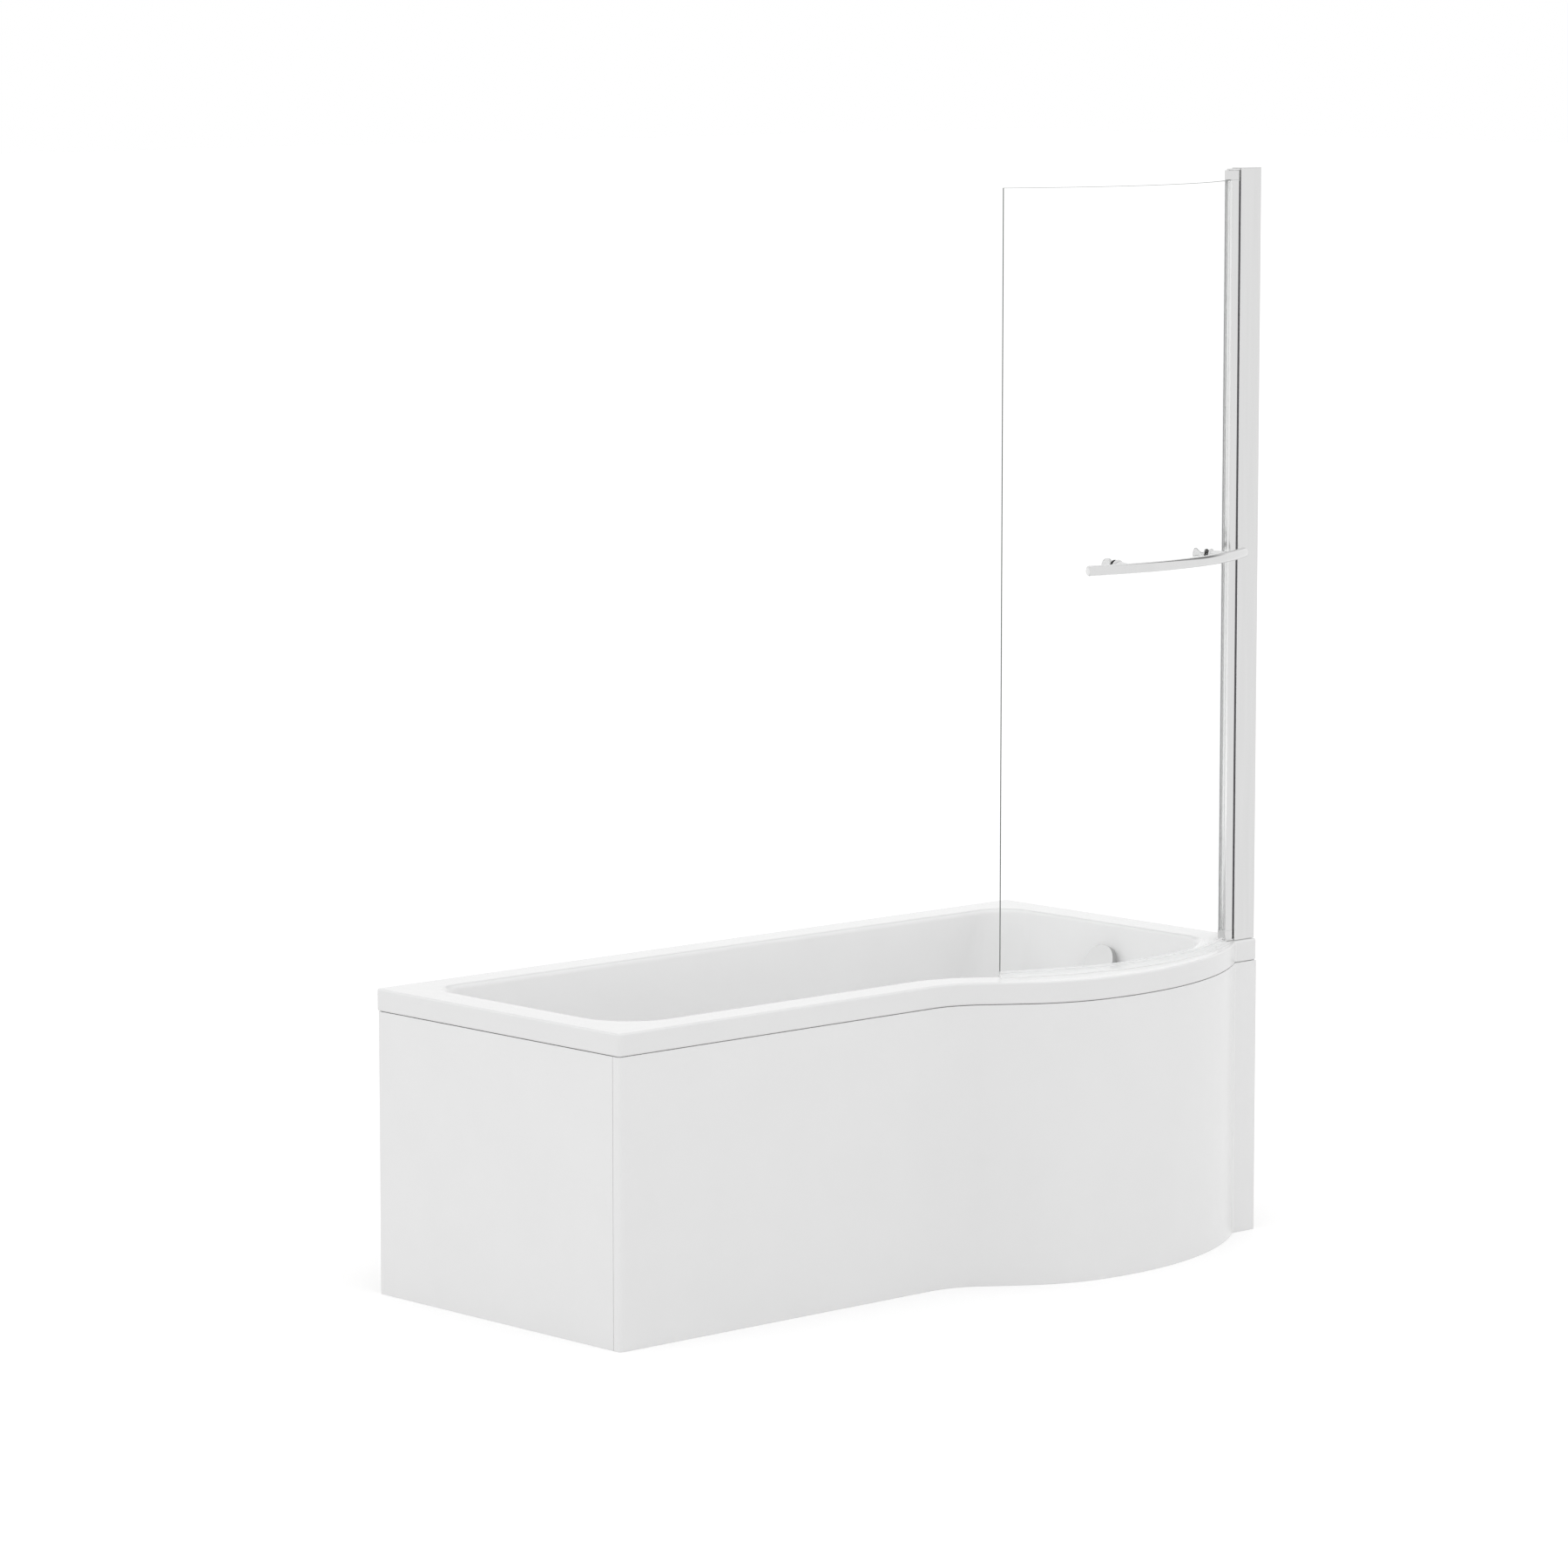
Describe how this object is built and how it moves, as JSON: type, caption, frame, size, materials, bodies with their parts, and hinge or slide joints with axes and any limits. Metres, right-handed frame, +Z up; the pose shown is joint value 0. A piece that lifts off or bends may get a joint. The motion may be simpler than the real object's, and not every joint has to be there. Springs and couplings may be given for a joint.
{
  "type": "p shaped shower bath",
  "caption": "P shaped white shower bath with a curved front bulge, panels, leg frame, pop-up waste and a hinged curved glass screen with a towel rail.",
  "frame": {"origin": "middle of the plan at floor level: the bounding box's bottom centre", "axes": "+X from the foot end to the tap end, +Y from the open front to the wall, +Z up"},
  "size_m": [1.675, 0.849, 2.1135],
  "materials": {
    "acrylic": "glossy moulded acrylic",
    "panel": "glossy moulded acrylic sheet",
    "timber": "raw softwood and chipboard",
    "zinc_sheet": "zinc plated sheet",
    "zinc_fixings": "zinc plated",
    "foot": "black plastic",
    "chrome": "polished chrome plate",
    "overflow_metal": "chrome plate",
    "profile": "bright polished",
    "post": "satin",
    "seal": "soft black rubber",
    "pipe": "white plastic",
    "cable": "black plastic sheath",
    "bush": "white nylon",
    "glass": "clear polished toughened glass",
    "clear_strip": "clear flexible plastic"
  },
  "bodies": {
    "bath": {"bath_shell": "acrylic", "front_panel": "panel", "end_panel": "panel", "base_board": "timber", "front_batten": "timber", "back_batten": "timber", "end_battens": "timber", "leg_bar_foot": "zinc_sheet", "leg_bar_tap": "zinc_sheet", "centre_leg_plate": "zinc_sheet", "panel_clips": "zinc_sheet", "wall_brackets": "zinc_sheet", "frame_screws": "zinc_fixings", "leg_rods": "zinc_fixings", "leg_nuts": "zinc_fixings", "clip_screws": "zinc_fixings", "bracket_screws": "zinc_fixings", "hinge_pins": "zinc_fixings", "post_screws": "zinc_fixings", "leg_feet": "foot", "waste_flange": "chrome", "profile_cap": "chrome", "overflow_plate": "overflow_metal", "wall_profile": "profile", "hinge_bracket_low": "profile", "hinge_bracket_top": "profile", "adjusting_post": "post", "waste_seals": "seal", "overflow_seals": "seal", "waste_body": "pipe", "overflow_elbow": "pipe", "overflow_pipes": "pipe", "overflow_bend": "pipe", "popup_cable": "cable"},
    "screen": {"hinge_profile": "profile", "hinge_cap_low": "chrome", "hinge_cap_top": "chrome", "pivot_bushes": "bush", "screen_glass": "glass", "glazing_strips": "clear_strip", "bottom_seal": "clear_strip", "towel_rail": "chrome", "rail_caps": "chrome", "rail_posts": "chrome", "rail_knobs": "chrome", "rail_gaskets": "seal", "rail_studs": "zinc_fixings"},
    "overflow_dial": {"overflow_knob": "chrome"},
    "plug": {"waste_plug": "chrome", "plug_seal": "seal"}
  },
  "joints": [
    {"name": "screen_swing", "type": "hinge", "parent": "bath", "child": "screen", "pos_m": [0.7645, -0.2635, 1.35], "axis": [0, 0, 1], "range_deg": [-90, 68]},
    {"name": "dial_turn", "type": "hinge", "parent": "bath", "child": "overflow_dial", "pos_m": [0.7276, 0.0305, 0.508], "axis": [-0.9205, 0, 0.3907], "range_deg": [0, 120]},
    {"name": "plug_lift", "type": "slide", "parent": "bath", "child": "plug", "axis": [0, 0, 1], "range_m": [0, 0.01]}
  ],
  "couplings": [
    {"joint": "plug_lift", "follows": "dial_turn", "m_per_rad": 0.00477}
  ]
}
